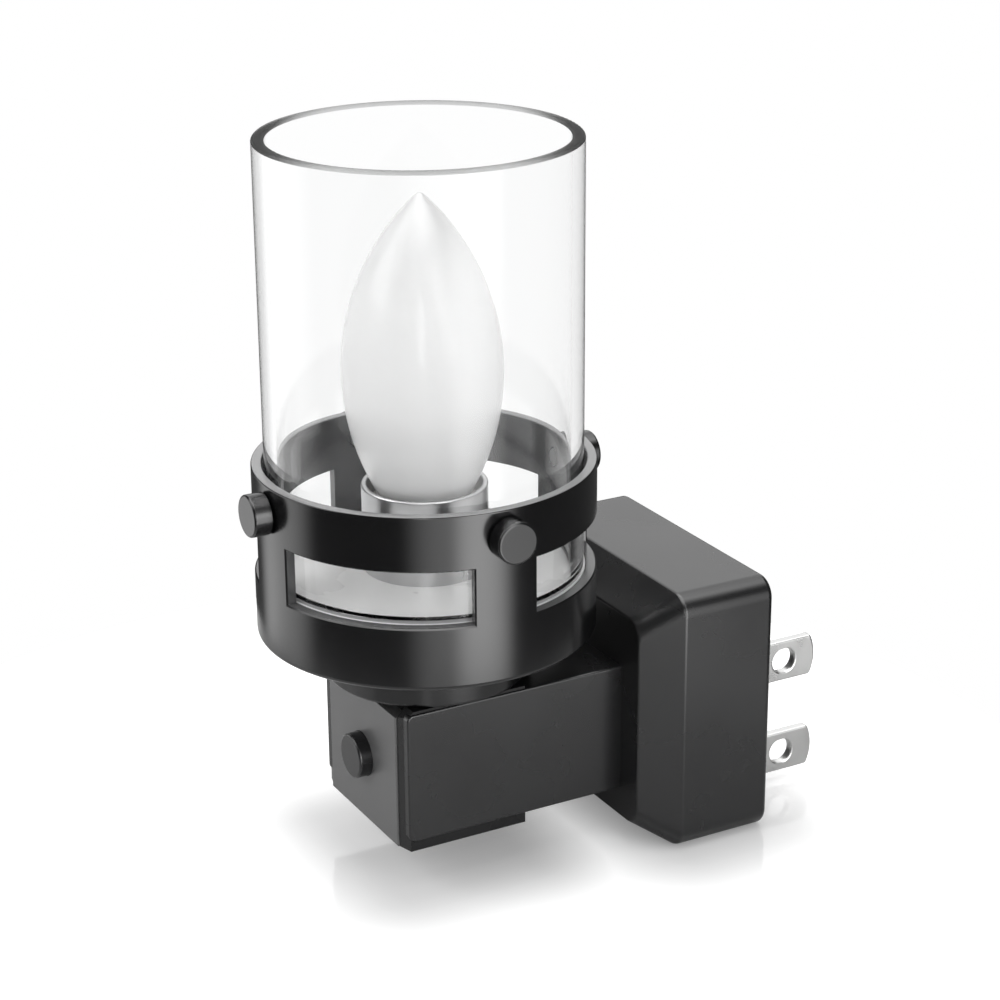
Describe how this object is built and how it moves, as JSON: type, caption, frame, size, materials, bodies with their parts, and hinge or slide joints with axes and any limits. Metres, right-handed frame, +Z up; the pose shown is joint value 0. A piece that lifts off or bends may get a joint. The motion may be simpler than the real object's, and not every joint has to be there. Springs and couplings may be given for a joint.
{
  "type": "plug-in night light",
  "caption": "Plug-in night light: clear glass tube shade in a windowed round cup with thumb screws, opal candle bulb, push switch block, short arm and bevelled wall plug",
  "frame": {"origin": "middle of the plug's back face, on the wall plane", "axes": "+Y into the wall, +Z up along the lamp's axis, +X to the right seen from the room"},
  "size_m": [0.0534, 0.0872, 0.1041],
  "materials": {
    "black_plastic": "satin moulded black",
    "black_gloss": "smooth black",
    "black_metal": "satin black powder coat",
    "blade_metal": "nickel plated",
    "steel": "zinc plated",
    "brass": "plain brass",
    "white_plastic": "smooth white",
    "holder_plastic": "moulded insulating plastic",
    "silicone": "soft translucent silicone",
    "clear_glass": "clear polished",
    "bright_sleeve": "polished nickel",
    "opal_glass": "frosted opal",
    "base_metal": "plain spun metal",
    "base_insulation": "black glass-like",
    "wire_black": "insulation",
    "wire_white": "insulation"
  },
  "bodies": {
    "base": {"plug_rear_housing": "black_plastic", "plug_front_cap": "black_plastic", "arm": "black_plastic", "front_block": "black_plastic", "front_cover": "black_plastic", "switch_body": "black_plastic", "neck_collar": "black_metal", "fitter_cup": "black_metal", "blade_upper": "blade_metal", "blade_lower": "blade_metal", "case_screws": "steel", "switch_spring": "steel", "lamp_nipple": "brass", "nipple_nuts": "brass", "holder_contact": "brass", "holder_shell": "brass", "seat_plate": "white_plastic", "lamp_holder": "holder_plastic", "shade_gasket": "silicone", "holder_sleeve": "bright_sleeve", "wire_line": "wire_black", "wire_switched": "wire_black", "wire_neutral": "wire_white"},
    "shade": {"glass_shade": "clear_glass"},
    "bulb": {"bulb_envelope": "opal_glass", "bulb_base": "base_metal", "bulb_insulator": "base_insulation", "bulb_tip_contact": "base_metal"},
    "button": {"switch_button": "black_gloss"},
    "cushion_right": {"screw_cushion_right": "silicone"},
    "screw_right": {"thumb_screw_right": "black_metal"},
    "cushion_rear": {"screw_cushion_rear": "silicone"},
    "screw_rear": {"thumb_screw_rear": "black_metal"},
    "cushion_left": {"screw_cushion_left": "silicone"},
    "screw_left": {"thumb_screw_left": "black_metal"},
    "cushion_front": {"screw_cushion_front": "silicone"},
    "screw_front": {"thumb_screw_front": "black_metal"}
  },
  "joints": [
    {"name": "shade_lift", "type": "slide", "parent": "base", "child": "shade", "axis": [0, 0, 1], "range_m": [0, 0.055]},
    {"name": "bulb_out", "type": "slide", "parent": "base", "child": "bulb", "axis": [0, 0, 1], "range_m": [0, 0.04]},
    {"name": "button_press", "type": "slide", "parent": "base", "child": "button", "axis": [0, 1, 0], "range_m": [0, 0.0013], "stiffness_N_per_m": 400, "springref_m": -0.0005, "deforming": ["switch_spring"]},
    {"name": "screw_right_travel", "type": "slide", "parent": "base", "child": "cushion_right", "axis": [1, 0, 0], "range_m": [0, 0.001]},
    {"name": "screw_right_turn", "type": "hinge", "parent": "cushion_right", "child": "screw_right", "pos_m": [0, -0.0446, 0.0358], "axis": [1, 0, 0], "range_deg": [0, 720]},
    {"name": "screw_rear_travel", "type": "slide", "parent": "base", "child": "cushion_rear", "axis": [0, 1, 0], "range_m": [0, 0.001]},
    {"name": "screw_rear_turn", "type": "hinge", "parent": "cushion_rear", "child": "screw_rear", "pos_m": [0, -0.0446, 0.0358], "axis": [0, 1, 0], "range_deg": [0, 720]},
    {"name": "screw_left_travel", "type": "slide", "parent": "base", "child": "cushion_left", "axis": [-1, 0, 0], "range_m": [0, 0.001]},
    {"name": "screw_left_turn", "type": "hinge", "parent": "cushion_left", "child": "screw_left", "pos_m": [0, -0.0446, 0.0358], "axis": [-1, 0, 0], "range_deg": [0, 720]},
    {"name": "screw_front_travel", "type": "slide", "parent": "base", "child": "cushion_front", "axis": [0, -1, 0], "range_m": [0, 0.001]},
    {"name": "screw_front_turn", "type": "hinge", "parent": "cushion_front", "child": "screw_front", "pos_m": [0, -0.0446, 0.0358], "axis": [0, -1, 0], "range_deg": [0, 720]}
  ],
  "couplings": [
    {"joint": "screw_right_turn", "follows": "screw_right_travel", "rad_per_m": 12566},
    {"joint": "screw_rear_turn", "follows": "screw_rear_travel", "rad_per_m": 12566},
    {"joint": "screw_left_turn", "follows": "screw_left_travel", "rad_per_m": 12566},
    {"joint": "screw_front_turn", "follows": "screw_front_travel", "rad_per_m": 12566}
  ]
}
